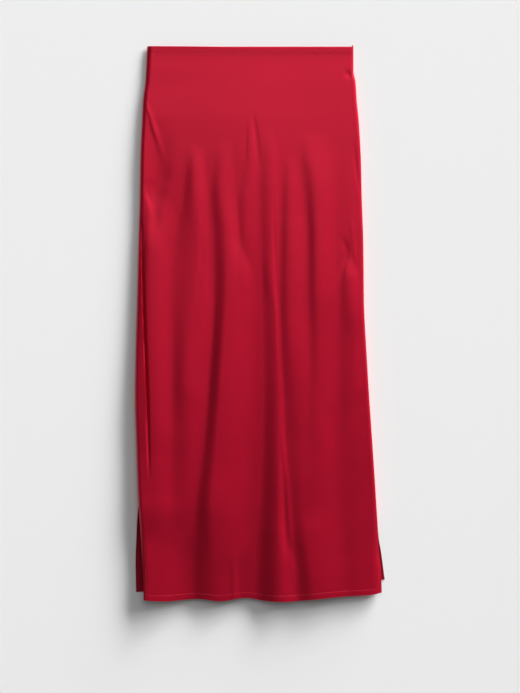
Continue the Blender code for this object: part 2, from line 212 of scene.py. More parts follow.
MAIN_FOLDS = (
    Fold("left_bulge", (
        Station(235.0, -191.0, 0.0, 20.0, 24.0),
        Station(300.0, -189.0, 1.5, 18.0, 44.0),
        Station(350.0, -188.0, 3.3, 20.0, 40.0),
        Station(436.0, -186.5, 3.3, 27.0, 37.0),
        Station(504.0, -185.0, 3.2, 30.0, 35.0),
        Station(607.0, -182.5, 3.1, 43.0, 34.0),
        Station(684.0, -180.0, 3.0, 44.0, 33.0),
        Station(786.5, -179.0, 2.0, 60.0, 32.0),
        Station(850.0, -178.0, 0.0, 60.0, 30.0),
    )),
    Fold("hip_hollow", (
        Station(120.0, -178.0, 0.0, 24.0, 40.0),
        Station(170.0, -175.0, -1.2, 26.0, 36.0),
        Station(225.0, -173.0, -2.0, 28.0, 26.0),
        Station(250.0, -180.0, -2.0, 22.0, 26.0),
        Station(290.0, -180.0, -0.9, 10.0, 14.0),
        Station(325.0, -179.0, 0.0, 10.0, 14.0),
    )),
    Fold("left_ridge", (
        Station(170.0, -111.0, 0.0, 16.0, 16.0),
        Station(222.0, -111.0, 2.2, 19.0, 21.0),
        Station(262.0, -111.0, 3.0, 24.0, 23.0),
        Station(350.0, -107.0, 2.1, 40.0, 23.0),
        Station(427.0, -111.0, 2.5, 40.0, 32.0),
        Station(504.0, -121.0, 3.1, 30.0, 42.0),
        Station(581.0, -125.0, 3.3, 26.0, 38.0),
        Station(640.0, -124.0, 1.9, 25.0, 28.0),
        Station(735.0, -126.0, 0.9, 21.0, 18.0),
        Station(830.0, -132.0, 0.0, 16.0, 14.0),
    )),
    Fold("left_middle_ridge", (
        Station(165.0, -60.0, 0.0, 18.0, 14.0),
        Station(247.0, -66.0, 2.0, 20.0, 26.0),
        Station(324.0, -58.0, 2.9, 24.0, 26.0),
        Station(401.0, -55.0, 4.1, 25.0, 48.0),
        Station(504.0, -61.0, 5.4, 23.0, 56.0),
        Station(607.0, -68.0, 6.2, 23.0, 64.0),
        Station(710.0, -76.0, 6.0, 25.0, 68.0),
        Station(786.5, -82.0, 7.0, 29.0, 74.0),
        Station(864.0, -79.0, 6.0, 36.0, 66.0),
        Station(915.0, -78.0, 4.8, 38.0, 50.0),
        Station(LENGTH, -77.0, 4.2, 38.0, 46.0),
    )),
    Fold("middle_ridge", (
        Station(122.0, -17.0, 0.0, 6.0, 8.0),
        Station(165.0, -17.0, 0.4, 8.0, 10.0),
        Station(222.0, -18.0, 0.7, 15.0, 14.0),
        Station(262.0, -24.0, 1.1, 15.0, 22.0),
        Station(324.0, -24.0, 1.1, 15.0, 22.0),
        Station(376.0, -27.0, 0.7, 13.0, 24.0),
        Station(430.0, -28.0, 0.0, 12.0, 24.0),
    )),
    Fold("centre_swell", (
        Station(290.0, 56.0, 0.0, 55.0, 80.0),
        Station(350.0, 56.0, 0.9, 55.0, 80.0),
        Station(453.0, 56.0, 1.9, 55.0, 80.0),
        Station(530.0, 58.0, 2.9, 55.0, 80.0),
        Station(658.0, 61.0, 3.2, 56.0, 82.0),
        Station(761.0, 62.0, 4.9, 58.0, 84.0),
        Station(825.0, 62.0, 4.9, 60.0, 86.0),
        Station(889.0, 64.0, 3.6, 60.0, 86.0),
        Station(LENGTH, 64.0, 3.0, 60.0, 86.0),
    )),
    Fold("centre_ridge", (
        Station(140.0, 14.0, 0.0, 12.0, 12.0),
        Station(196.0, 18.5, 0.9, 19.0, 17.0),
        Station(247.0, 17.5, 1.5, 19.0, 18.0),
        Station(350.0, 18.5, 1.5, 18.0, 14.0),
        Station(401.0, 19.0, 2.0, 17.0, 14.0),
        Station(453.0, 25.0, 1.6, 22.0, 10.0),
        Station(530.0, 27.5, 1.7, 23.0, 11.0),
        Station(607.0, 29.0, 2.5, 24.0, 14.0),
        Station(710.0, 29.0, 3.4, 27.0, 16.0),
        Station(786.5, 29.0, 4.2, 30.0, 17.0),
        Station(838.0, 28.5, 5.8, 34.0, 21.0),
        Station(889.0, 29.0, 7.0, 36.0, 33.0),
        Station(LENGTH, 30.0, 8.0, 38.0, 37.0),
    )),
    Fold("right_middle_ridge", (
        Station(185.0, 51.0, 0.0, 10.0, 12.0),
        Station(247.0, 51.0, 1.4, 14.0, 22.0),
        Station(324.0, 51.0, 2.0, 17.0, 28.0),
        Station(427.0, 50.0, 1.9, 17.0, 30.0),
        Station(504.0, 53.0, 1.7, 19.0, 32.0),
        Station(555.0, 59.0, 1.4, 24.0, 36.0),
        Station(607.0, 65.0, 1.3, 24.0, 46.0),
        Station(684.0, 73.0, 1.4, 26.0, 66.0),
        Station(786.5, 74.0, 1.5, 20.0, 70.0),
        Station(838.0, 79.0, 2.6, 22.0, 70.0),
        Station(889.0, 86.0, 3.6, 24.0, 66.0),
        Station(LENGTH, 93.0, 3.9, 26.0, 64.0),
    )),
    Fold("right_ridge", (
        Station(150.0, 84.0, 0.0, 16.0, 40.0),
        Station(196.0, 88.0, 1.6, 20.0, 50.0),
        Station(222.0, 94.0, 2.3, 23.0, 42.0),
        Station(262.0, 97.0, 3.0, 21.0, 37.0),
        Station(324.0, 98.0, 3.5, 18.0, 35.0),
        Station(427.0, 99.0, 3.2, 18.0, 37.0),
        Station(504.0, 101.0, 2.2, 18.0, 34.0),
        Station(607.0, 101.0, 1.9, 20.0, 34.0),
        Station(665.0, 103.0, 1.5, 26.0, 28.0),
        Station(735.0, 104.0, 0.8, 30.0, 32.0),
        Station(870.0, 106.0, 0.0, 30.0, 34.0),
    )),
    Fold("right_hip_ridge", (
        Station(365.0, 150.0, 0.0, 14.0, 14.0),
        Station(401.0, 152.0, 1.9, 18.0, 22.0),
        Station(453.0, 156.0, 2.0, 21.0, 24.0),
        Station(504.0, 160.0, 1.3, 26.0, 22.0),
        Station(581.0, 160.0, 1.4, 26.0, 20.0),
        Station(632.0, 152.0, 0.5, 16.0, 16.0),
        Station(684.0, 152.0, 0.0, 16.0, 14.0),
    )),
    Fold("right_side_fall", (
        Station(150.0, 188.0, 0.0, 40.0, 60.0),
        Station(215.0, 191.0, -1.5, 44.0, 60.0),
        Station(265.0, 193.0, -1.8, 44.0, 60.0),
        Station(333.0, 196.0, -1.2, 42.0, 60.0),
        Station(436.0, 199.0, -0.9, 42.0, 60.0),
        Station(540.0, 203.0, -1.5, 46.0, 60.0),
        Station(607.0, 205.0, -1.8, 50.0, 60.0),
        Station(675.0, 207.0, -1.8, 50.0, 60.0),
        Station(838.0, 212.0, -2.2, 52.0, 60.0),
        Station(LENGTH, 216.0, -2.6, 54.0, 60.0),
    )),
    Fold("left_corner_rise", (
        Station(700.0, -205.0, 0.0, 60.0, 80.0),
        Station(761.0, -205.0, 2.2, 60.0, 84.0),
        Station(786.5, -205.0, 3.6, 60.0, 86.0),
        Station(838.0, -205.0, 5.6, 60.0, 86.0),
        Station(889.0, -205.0, 8.6, 60.0, 88.0),
        Station(LENGTH, -205.0, 10.2, 60.0, 88.0),
    )),
    Fold("left_hem_trough", (
        Station(840.0, -120.0, 0.0, 36.0, 20.0),
        Station(889.0, -119.0, -1.0, 50.0, 22.0),
        Station(LENGTH, -118.0, -1.1, 55.0, 25.0),
    )),
)

# Creases too narrow for the solids: the crevice behind the left side roll, drag
# lines from the left hip, hairlines on the long ridges and short wrinkles
# beside the right seam.
FINE_FOLDS = (
    Fold("side_crevice", (
        Station(290.0, -203.0, 0.0, 2.5, 3.0),
        Station(342.0, -201.5, -2.6, 2.5, 3.2),
        Station(419.0, -199.5, -3.6, 2.6, 3.4),
        Station(504.0, -196.5, -3.8, 2.6, 3.6),
        Station(607.0, -192.5, -3.4, 2.8, 3.8),
        Station(675.0, -191.0, -2.0, 3.0, 4.0),
        Station(745.0, -189.0, 0.0, 3.0, 4.0),
    )),
    Fold("spine_crease", (
        Station(640.0, 38.0, 0.0, 4.0, 4.0),
        Station(684.0, 40.0, 0.6, 4.5, 5.0),
        Station(735.0, 44.0, 0.9, 5.0, 6.0),
        Station(786.5, 47.0, 1.1, 5.0, 7.0),
        Station(838.0, 50.0, 0.9, 6.0, 8.0),
        Station(889.0, 53.0, 0.5, 6.0, 8.0),
        Station(925.0, 56.0, 0.0, 6.0, 8.0),
    )),
    Fold("spine_hairline", (
        Station(240.0, 23.0, 0.0, 3.0, 3.0),
        Station(300.0, 24.0, -0.35, 3.5, 3.5),
        Station(340.0, 24.5, -0.5, 3.5, 3.5),
        Station(376.0, 26.0, -0.4, 3.5, 3.5),
        Station(440.0, 29.5, -0.35, 3.5, 3.5),
        Station(504.0, 31.5, -0.3, 3.5, 3.5),
        Station(570.0, 33.0, 0.0, 3.5, 3.5),
    )),
    Fold("left_ridge_hairline", (
        Station(255.0, -100.0, 0.0, 3.0, 3.0),
        Station(300.0, -99.0, -0.35, 3.5, 3.5),
        Station(345.0, -99.5, -0.5, 3.5, 3.5),
        Station(376.0, -100.5, -0.6, 3.5, 3.5),
        Station(401.0, -102.0, -0.5, 3.5, 3.5),
        Station(445.0, -106.0, -0.4, 3.5, 3.5),
        Station(504.0, -113.5, -0.3, 4.0, 4.0),
        Station(565.0, -119.0, 0.0, 4.0, 4.0),
    )),
    Fold("upper_drag", (
        Station(85.0, -198.0, 0.0, 5.0, 5.0),
        Station(119.0, -188.0, 0.5, 5.0, 7.0),
        Station(145.0, -181.0, 0.9, 6.0, 8.0),
        Station(170.0, -173.0, 0.5, 6.0, 8.0),
        Station(205.0, -162.0, 0.0, 6.0, 8.0),
    )),
    Fold("second_drag", (
        Station(95.0, -196.0, 0.0, 2.5, 2.5),
        Station(108.0, -193.0, 0.3, 2.5, 2.5),
        Station(125.0, -188.0, 0.0, 2.5, 2.5),
    )),
    Fold("third_drag", (
        Station(68.0, -196.0, 0.0, 2.0, 2.5),
        Station(80.0, -193.5, 0.3, 2.5, 2.5),
        Station(98.0, -189.0, 0.0, 2.5, 2.5),
    )),
    Fold("hip_hook", (
        Station(244.0, -193.0, 0.0, 3.0, 3.0),
        Station(258.0, -190.0, -0.35, 3.0, 3.0),
        Station(274.0, -185.0, 0.0, 3.0, 3.0),
    )),
    Fold("valley_left_arm", (
        Station(262.0, -150.0, 0.0, 8.0, 8.0),
        Station(300.0, -141.0, -0.25, 10.0, 8.0),
        Station(350.0, -147.0, -0.15, 10.0, 8.0),
        Station(400.0, -150.0, 0.0, 9.0, 8.0),
    )),
    Fold("top_vee_left", (
        Station(125.0, -24.0, 0.0, 3.0, 3.0),
        Station(146.0, -24.0, -0.25, 4.0, 3.5),
        Station(180.0, -24.0, -0.25, 5.0, 3.5),
        Station(215.0, -25.0, 0.0, 4.0, 3.5),
    )),
    Fold("top_vee_right", (
        Station(108.0, -14.0, 0.0, 5.0, 6.0),
        Station(145.0, -8.0, -0.5, 6.0, 7.0),
        Station(172.0, -5.0, -0.6, 7.0, 8.0),
        Station(215.0, -2.0, 0.0, 8.0, 8.0),
    )),
    Fold("right_slash", (
        Station(165.0, 160.0, 0.0, 4.0, 5.0),
        Station(195.0, 163.0, -0.5, 5.0, 5.0),
        Station(225.0, 167.0, -0.5, 5.0, 4.0),
        Station(255.0, 171.0, 0.0, 5.0, 4.0),
    )),
    Fold("right_seam_wrinkle", (
        Station(292.0, 156.0, 0.0, 4.0, 4.0),
        Station(315.0, 158.0, 0.4, 4.0, 4.0),
        Station(345.0, 160.5, 0.4, 4.0, 4.0),
        Station(380.0, 165.0, 0.0, 4.0, 4.0),
    )),
    Fold("right_hip_wrinkle", (
        Station(325.0, 142.0, 0.0, 8.0, 6.0),
        Station(350.0, 149.0, -0.9, 10.0, 6.0),
        Station(380.0, 143.0, -0.8, 10.0, 6.0),
        Station(410.0, 138.0, 0.0, 8.0, 6.0),
    )),
    Fold("elastic_end", (
        Station(40.0, 150.0, 0.0, 8.0, 6.0),
        Station(49.0, 151.5, -0.9, 9.0, 6.0),
        Station(58.0, 153.0, 0.0, 9.0, 6.0),
    )),
    Fold("hem_ripple", (
        Station(865.0, -45.0, 0.0, 8.0, 8.0),
        Station(905.0, -44.5, 0.8, 8.0, 9.0),
        Station(LENGTH, -44.0, 1.0, 9.0, 10.0),
    )),
)

ROWS = (
    Row(0.0, -193.4, 160.0, 9.1, 9.1, 9.1),
    Row(16.0, -194.0, 160.0, 8.7, 8.8, 8.7),
    Row(45.0, -195.4, 160.2, 9.3, 9.6, 9.3),
    Row(60.0, -196.4, 163.5, 9.5, 10.2, 9.7),
    Row(93.0, -200.3, 165.7, 10.5, 11.4, 10.2),
    Row(128.0, -202.0, 169.1, 11.4, 12.6, 10.8),
    Row(196.0, -204.9, 172.9, 12.0, 13.4, 11.6),
    Row(265.0, -205.8, 174.5, 11.5, 13.4, 12.2),
    Row(333.0, -208.0, 176.9, 12.0, 13.2, 12.6),
    Row(436.0, -210.5, 178.0, 13.2, 13.0, 13.4),
    Row(538.0, -213.2, 183.2, 15.0, 13.0, 13.2),
    Row(607.0, -214.0, 187.4, 16.2, 12.8, 13.2),
    Row(675.0, -212.0, 192.1, 17.0, 12.6, 13.2),
    Row(786.5, -208.1, 199.4, 16.4, 12.2, 12.6),
    Row(838.0, -204.3, 202.0, 14.2, 11.7, 12.7),
    Row(874.0, -201.4, 203.7, 12.6, 11.4, 12.8),
    Row(906.0, -200.0, 206.9, 11.8, 11.0, 13.2),
    Row(LENGTH, -198.6, 208.8, 11.2, 10.4, 13.4),
)

SEAMS = (
    Seam(0.0, 3.8, 5.8, 54.0, 9.5, 4.5),
    Seam(60.0, 4.4, 6.6, 58.0, 9.0, 5.0),
    Seam(128.0, 5.8, 7.4, 58.0, 7.5, 5.0),
    Seam(265.0, 5.8, 7.8, 50.0, 7.0, 5.0),
    Seam(436.0, 7.0, 9.3, 30.0, 6.0, 5.0),
    Seam(607.0, 8.5, 8.6, 10.0, 5.5, 5.0),
    Seam(700.0, 9.5, 8.2, 0.0, 6.0, 5.5),
    Seam(786.5, 10.5, 7.8, 0.0, 7.0, 7.0),
    Seam(874.0, 16.8, 7.0, 0.0, 9.5, 14.0),
    Seam(LENGTH, 19.8, 6.6, 0.0, 12.0, 20.0),
)

BACK_EDGES = (
    BackEdge(786.5, -208.1, 199.4, 10.5, 7.8),
    BackEdge(815.0, -210.4, 201.0, 6.0, 5.0),
    BackEdge(856.0, -212.3, 203.4, 2.2, 1.8),
    BackEdge(890.0, -213.6, 207.8, 1.2, 1.1),
    BackEdge(LENGTH, -212.7, 214.0, 1.0, 0.9),
)

WAIST_LINE = (
    EdgeLine(-194.0, 0.2),
    EdgeLine(-160.0, 0.4),
    EdgeLine(-70.0, 1.2),
    EdgeLine(-45.0, 2.2),
    EdgeLine(150.0, 2.2),
    EdgeLine(160.0, 1.6),
)

FRONT_HEM = (
    EdgeLine(-198.6, 948.3),
    EdgeLine(-163.0, 950.3),
    EdgeLine(-106.0, 946.9),
    EdgeLine(-68.0, 950.2),
    EdgeLine(-24.0, 945.0),
    EdgeLine(10.0, 949.8),
    EdgeLine(43.0, LENGTH),
    EdgeLine(89.0, 947.4),
    EdgeLine(144.0, 942.3),
    EdgeLine(192.0, 939.7),
    EdgeLine(208.8, 936.3),
)

BACK_HEM = (
    EdgeLine(-212.7, 936.3),
    EdgeLine(214.0, 914.9),
)


@dataclass
class Puckers:
    """Small gathers that the waist's stitching pulls into the cloth."""

    count: int = 76
    seed: int = 5
    start: float = -192.0
    end: float = 160.0
    lowest: float = 0.04
    highest: float = 0.22
    narrowest: float = 1.5
    widest: float = 3.4
    lean: float = 0.30
    strongest: float = 9.0
    fade: float = 5.0

    def __post_init__(self) -> None:
        """Lay out the gathers, uneven in place, height, width and lean."""
        draw = np.random.default_rng(self.seed)
        even = np.linspace(self.start, self.end, self.count)
        self.places = even + draw.uniform(-2.4, 2.4, self.count)
        side = 0.45 + 0.55 * ease((self.places + 20.0) / 60.0)
        self.heights = side * draw.uniform(self.lowest, self.highest, self.count)
        self.widths = draw.uniform(self.narrowest, self.widest, self.count)
        self.leans = draw.uniform(-self.lean, self.lean, self.count)

    def relief(self, down: float, across: Points) -> Points:
        """Height of the gathers over the band, at one distance down."""
        strength = float(np.exp(-(((down - self.strongest) / self.fade) ** 2)))
        if strength < 0.004:
            return np.zeros_like(across)
        offset = across[:, None] - self.places - self.leans * (down - self.strongest)
        return strength * (self.heights * np.exp(-((offset / self.widths) ** 2))).sum(axis=1)


PUCKERS = Puckers()


# ---------------------------------------------------------------- the form
@dataclass(frozen=True)
class SkirtForm:
    """The tube of cloth as it lies: its sections, sides and edges, in mm."""

    band_depth: float = 14.5
    slit_top: float = 786.5
    back_roll: float = 9.0
    left_share: float = -150.0
    middle_share: float = -15.0
    right_share: float = 130.0
    free_front_turn: float = 40.0
    free_back_turn: float = -62.0
    hem_depth: float = 10.0
    hem_swell: float = 0.12
    stitch_dent: float = 0.08
    stitch_width: float = 1.4

    def crown(self, down: float, across: Points) -> Points:
        """Height of the front's outer surface before its sides round down.

        Args:
            down: Distance below the waist edge.
            across: Distances to the right of the middle.

        Returns:
            The height at each of them.
        """
        left, middle, right = (
            between(ROWS, column, down) for column in ("crown_left", "crown_middle", "crown_right")
        )
        to_middle = ease((across - self.left_share) / (self.middle_share - self.left_share))
        to_right = ease((across - self.middle_share) / (self.right_share - self.middle_share))
        height = left + (middle - left) * to_middle + (right - middle) * to_right
        for fold in MAIN_FOLDS + FINE_FOLDS:
            height = height + fold.relief(down, across)
        return height + self.hem_relief(down) + PUCKERS.relief(down, across)

    def hem_relief(self, down: float) -> float:
        """Swell of the turned-up hem, with the dent of its stitching."""
        above_edge = LENGTH - down
        swell = self.hem_swell * float(ease((self.hem_depth + 1.0 - above_edge) / 2.0))
        dent = self.stitch_dent * float(np.exp(-(((above_edge - self.hem_depth) / self.stitch_width) ** 2)))
        return swell - dent

    def slit_share(self, down: float) -> float:
        """How far down the slits a row lies, from 0 at their top to 1 at the hem."""
        return float(ease((down - self.slit_top) / (LENGTH - self.slit_top)))

    def front_hem(self, down: float, across: Points) -> Points:
        """Distance down of a front row's points, which fan out to the hem's line."""
        return self._fan(FRONT_HEM, down, across)

    def back_hem(self, down: float, across: Points) -> Points:
        """Distance down of a back row's points."""
        return self._fan(BACK_HEM, down, across)

    def _fan(self, hem: Sequence[EdgeLine], down: float, across: Points) -> Points:
        """Spread the rows below the slits' top so that the last one is the hem."""
        if down <= self.slit_top:
            return np.full_like(across, down)
        reach = between(hem, "down", across, key="across") - self.slit_top
        return self.slit_top + (down - self.slit_top) / (LENGTH - self.slit_top) * reach

    def waist_line(self, down: float, across: Points) -> Points:
        """Distance down of the front waistband's points, below its own top edge."""
        start = between(WAIST_LINE, "down", across, key="across")
        return start + (self.band_depth - start) * down / self.band_depth

    def straight_line(self, down: float, across: Points) -> Points:
        """Distance down of the back waistband's points."""
        return np.full_like(across, down)


FORM = SkirtForm()


@dataclass
class Side:
    """One side of the tube at one distance down.

    Round it, the angle is -90 degrees on the floor, 0 where the side is widest
    and 90 on top.
    """

    name: str
    down: float
    inward: float = field(init=False)
    front_edge: float = field(init=False)
    back_edge: float = field(init=False)
    front_height: float = field(init=False)
    back_height: float = field(init=False)
    roll: float = field(init=False)
    seam_turn: float = field(init=False)
    front_turn: float = field(init=False)
    back_turn: float = field(init=False)

    def __post_init__(self) -> None:
        """Read this side's measures from the tables."""
        self.inward = 1.0 if self.name == "left" else -1.0
        self.front_edge = self.back_edge = float(between(ROWS, self.name, self.down))
        self.front_height = self.back_height = float(between(SEAMS, self.name + "_height", self.down))
        self.roll = float(between(SEAMS, self.name + "_roll", self.down))
        turned = self.name == "right" and self.down < FORM.slit_top
        self.seam_turn = float(between(SEAMS, "right_turn", self.down)) if turned else 0.0
        share = FORM.slit_share(self.down)
        self.front_turn, self.back_turn = FORM.free_front_turn * share, FORM.free_back_turn * share
        if self.down > FORM.slit_top:
            self.back_edge = float(between(BACK_EDGES, self.name, self.down))
            self.back_height = float(between(BACK_EDGES, self.name + "_height", self.down))

    def upper(self, angles: Points) -> tuple[Points, Points]:
        """Points of the shoulder.

        Args:
            angles: Angles from 0 to 90 degrees.

        Returns:
            How far across and how high each point is.
        """
        edge, turn = radians(self.front_turn), np.radians(angles)
        across = self.front_edge + self.inward * self.roll * (cos(edge) - np.cos(turn)) / cos(edge)
        rise = (np.sin(turn) - sin(edge)) / (1.0 - sin(edge))
        return across, self.front_height + (FORM.crown(self.down, across) - self.front_height) * rise

    def lower(self, angles: Points) -> tuple[Points, Points]:
        """Points of the back panel's rise, at angles from -90 to 0 degrees."""
        edge, turn = radians(self.back_turn), np.radians(angles)
        across = self.back_edge + self.inward * FORM.back_roll * (cos(edge) - np.cos(turn)) / cos(edge)
        return across, self.back_height * (1.0 + np.sin(turn)) / (1.0 + sin(edge))

    def around(self, angles: Points) -> tuple[Points, Points]:
        """Points of the closed side above the slits, at any angles."""
        high, low = self.upper(np.maximum(angles, 0.0)), self.lower(np.minimum(angles, 0.0))
        return tuple(np.where(angles > 0.0, a, b) for a, b in zip(high, low))


# ---------------------------------------------------------------- meshes
class ClothMesh:
    """Builds a thin closed shell from the outer points of a piece of cloth."""

    def __init__(self, name: str, thickness: float) -> None:
        """Start a shell.

        Args:
            name: Name of the piece.
            thickness: Thickness of the cloth, in mm.
        """
        self.name = name
        self.thickness = thickness

    def build(self, outer: Points, facing: float) -> bpy.types.Object:
        """Close a grid of outer points into a shell with an inside.

        Args:
            outer: Grid of points in mm, in rows from the waist to the hem and
                columns from left to right.
            facing: 1 where the outer side is above the cloth, -1 below it.

        Returns:
            The new object, whose second material slot is its inside.
        """
        along = np.gradient(outer, axis=0)
        over = np.gradient(outer, axis=1)
        normal = np.cross(along, over)
        normal /= np.linalg.norm(normal, axis=2, keepdims=True)
        inner = outer - facing * normal * self.thickness
        rows, columns = outer.shape[:2]
        count = rows * columns
        index = np.arange(count).reshape(rows, columns)
        quads = np.stack((index[:-1, :-1], index[1:, :-1], index[1:, 1:], index[:-1, 1:]), axis=2).reshape(-1, 4)
        rim = np.concatenate((index[0, :], index[1:, -1], index[-1, -2::-1], index[-2:0:-1, 0]))
        ahead = np.roll(rim, -1)
        edge = np.stack((rim, ahead, ahead + count, rim + count), axis=1)
        faces = np.concatenate((quads, quads[:, ::-1] + count, edge))
        if facing < 0:
            faces = faces[:, ::-1]
        mesh = bpy.data.meshes.new(self.name)
        mesh.from_pydata(np.concatenate((outer.reshape(-1, 3), inner.reshape(-1, 3))) * MM, [], faces.tolist())
        inside = np.zeros(len(faces), dtype=np.int32)
        inside[len(quads):] = 1
        piece = bpy.data.objects.new(self.name, mesh)
        bpy.context.scene.collection.objects.link(piece)
        mesh.materials.append(None)
        mesh.materials.append(None)
        mesh.polygons.foreach_set("material_index", inside)
        mesh.shade_smooth()
        mesh.set_sharp_from_angle(angle=radians(50.0))
        return piece


def bunched(start: Points | float, end: Points | float, count: int, pull: float) -> Points:
    """Spread places between two ends, closer together near both.

    Args:
        start: First place, which is kept.
        end: Last place, which is left out.
        count: How many places.
        pull: How much closer they are at the ends, from 0 to 1.

    Returns:
        The places.
    """
    t = np.arange(count) / count
    t = t - pull * np.sin(2.0 * pi * t) / (2.0 * pi)
    return start + (end - start) * t


# ---------------------------------------------------------------- finishes
class Wire:
    """A shader socket that takes part in Python expressions."""

    def __init__(self, graph: "Graph", socket: bpy.types.NodeSocket) -> None:
        """Wrap one output socket of a graph."""
        self.graph = graph
        self.socket = socket

    def _with(self, operation: str, first: "Wire | float", second: "Wire | float") -> "Wire":
        """Add a Math node of one operation."""
        return self.graph.node("ShaderNodeMath", {"operation": operation}, {0: first, 1: second})

    def __add__(self, other: "Wire | float") -> "Wire":
        """Add."""
        return self._with("ADD", self, other)

    __radd__ = __add__

    def __mul__(self, other: "Wire | float") -> "Wire":
        """Multiply."""
        return self._with("MULTIPLY", self, other)

    __rmul__ = __mul__

    def __sub__(self, other: "Wire | float") -> "Wire":
        """Take another from this."""
        return self._with("SUBTRACT", self, other)

    def __rsub__(self, other: "Wire | float") -> "Wire":
        """Take this from another."""
        return self._with("SUBTRACT", other, self)


class Graph:
    """The node tree of one material."""

    def __init__(self, name: str) -> None:
        """Make an empty material of this name."""
        self.material = bpy.data.materials.new(name)
        self.material.use_nodes = True
        self.tree = self.material.node_tree
        self.tree.nodes.clear()

    def node(self, kind: str, settings: dict[str, object], inputs: dict[int | str, object], output: int | str = 0) -> Wire:
        """Add one node.

        Args:
            kind: The node's type.
            settings: Its own properties, which are set first.
            inputs: Values or wires for its sockets, by name or number.
            output: The socket that is returned.

        Returns:
            That output as a wire.
        """
        made = self.tree.nodes.new(kind)
        for key, value in settings.items():
            if key == "stops":
                self._set_stops(made, value)
            else:
                setattr(made, key, value)
        for key, value in inputs.items():
            if isinstance(value, Wire):
                self.tree.links.new(value.socket, made.inputs[key])
            else:
                made.inputs[key].default_value = value
        return Wire(self, made.outputs[output]) if len(made.outputs) else Wire(self, made.inputs[0])

    def _set_stops(self, ramp: bpy.types.Node, stops: Sequence[tuple[float, tuple[float, ...]]]) -> None:
        """Give a colour ramp its stops."""
        elements = ramp.color_ramp.elements
        for extra in range(len(stops) - len(elements)):
            elements.new(0.5 + 0.01 * extra)
        for element, (place, colour) in zip(elements, stops):
            element.position = place
            element.color = (*colour, 1.0)

    def finish(self, surface: Wire) -> bpy.types.Material:
        """Send a shader to the surface.

        Args:
            surface: The shader's output.

        Returns:
            The finished material.
        """
        self.node("ShaderNodeOutputMaterial", {}, {"Surface": surface})
        return self.material


Colour = tuple[float, float, float]


@dataclass(frozen=True)
class SatinFinish:
    """A face of the satin: its colour, its gloss and the run of its threads."""

    name: str
    thread: Colour
    shade: Colour
    roughness: float
    metallic: float
    coat: float
    specular: float
    coat_roughness: float = 0.32
    float_length: float = 0.9 * MM
    thread_width: float = 0.22 * MM
    weave_depth: float = 0.012 * MM
    slub_size: float = 26.0 * MM
    bias: float = 45.0

    def build(self) -> bpy.types.Material:
        """Make the satin's material.

        Returns:
            The material.
        """
        graph = Graph(self.name)
        place = graph.node("ShaderNodeTexCoord", {}, {}, "Object")
        turned = graph.node(
            "ShaderNodeMapping",
            {"vector_type": "POINT"},
            {
                "Vector": place,
                "Rotation": (0.0, 0.0, radians(self.bias)),
                "Scale": (1.0 / self.float_length, 1.0 / self.thread_width, 1.0 / self.float_length),
            },
        )
        threads = graph.node("ShaderNodeTexNoise", {}, {"Vector": turned, "Scale": 1.0, "Detail": 2.0, "Roughness": 0.6})
        slub = graph.node(
            "ShaderNodeTexNoise", {}, {"Vector": place, "Scale": 1.0 / self.slub_size, "Detail": 3.0, "Roughness": 0.5}
        )
        blend = 0.5 + (threads - 0.5) * 0.5 + (slub - 0.5) * 0.35
        colour = graph.node(
            "ShaderNodeMix",
            {"data_type": "RGBA"},
            {0: blend, 6: (*self.shade, 1.0), 7: (*self.thread, 1.0)},
            2,
        )
        roughness = self.roughness + (slub - 0.5) * 0.05 + (threads - 0.5) * 0.04
        bump = graph.node(
            "ShaderNodeBump", {}, {"Strength": 0.35, "Distance": self.weave_depth, "Height": threads}
        )
        shader = graph.node(
            "ShaderNodeBsdfPrincipled",
            {},
            {
                "Base Color": colour,
                "Metallic": self.metallic,
                "Roughness": roughness,
                "Specular IOR Level": self.specular,
                "Coat Weight": self.coat,
                "Coat Roughness": self.coat_roughness,
                "Normal": bump,
            },
        )
        return graph.finish(shader)


@dataclass(frozen=True)
class ThreadFinish:
    """Sewing thread dyed to the cloth."""

    name: str
    colour: Colour
    roughness: float = 0.5
    twist_pitch: float = 0.35 * MM
    twist_depth: float = 0.02 * MM

    def material(self) -> bpy.types.Material:
        """The thread's material, made the first time it is asked for."""
        return bpy.data.materials.get(self.name) or self.build()

    def build(self) -> bpy.types.Material:
        """Make the thread's material."""
        graph = Graph(self.name)
        place = graph.node("ShaderNodeTexCoord", {}, {}, "Object")
        twist = graph.node(
            "ShaderNodeTexWave",
            {"bands_direction": "DIAGONAL"},
            {"Vector": place, "Scale": 0.31 / self.twist_pitch, "Distortion": 0.5},
            "Fac",
        )
        bump = graph.node("ShaderNodeBump", {}, {"Strength": 0.5, "Distance": self.twist_depth, "Height": twist})
        shader = graph.node(
            "ShaderNodeBsdfPrincipled",
            {},
            {"Base Color": (*self.colour, 1.0), "Roughness": self.roughness, "Sheen Weight": 0.2, "Normal": bump},
        )
        return graph.finish(shader)


@dataclass(frozen=True)
class FloorFinish:
    """A plain pale floor."""

    name: str = "pale_floor"
    colour: Colour = (0.86, 0.86, 0.86)

    def build(self) -> bpy.types.Material:
        """Make the floor's material."""
        graph = Graph(self.name)
        shader = graph.node("ShaderNodeBsdfDiffuse", {}, {"Color": (*self.colour, 1.0), "Roughness": 0.0})
        return graph.finish(shader)


SATIN = SatinFinish(
    "satin_face", thread=(0.60, 0.0014, 0.030), shade=(0.50, 0.0008, 0.023), roughness=0.47, metallic=0.86, coat=0.25,
    specular=0.35,
)
SATIN_INSIDE = SatinFinish(
    "satin_inside", thread=(0.38, 0.005, 0.024), shade=(0.30, 0.003, 0.018), roughness=0.58, metallic=0.35, coat=0.0,
    specular=0.15,
)
THREAD = ThreadFinish("red_thread", colour=(0.40, 0.010, 0.032))


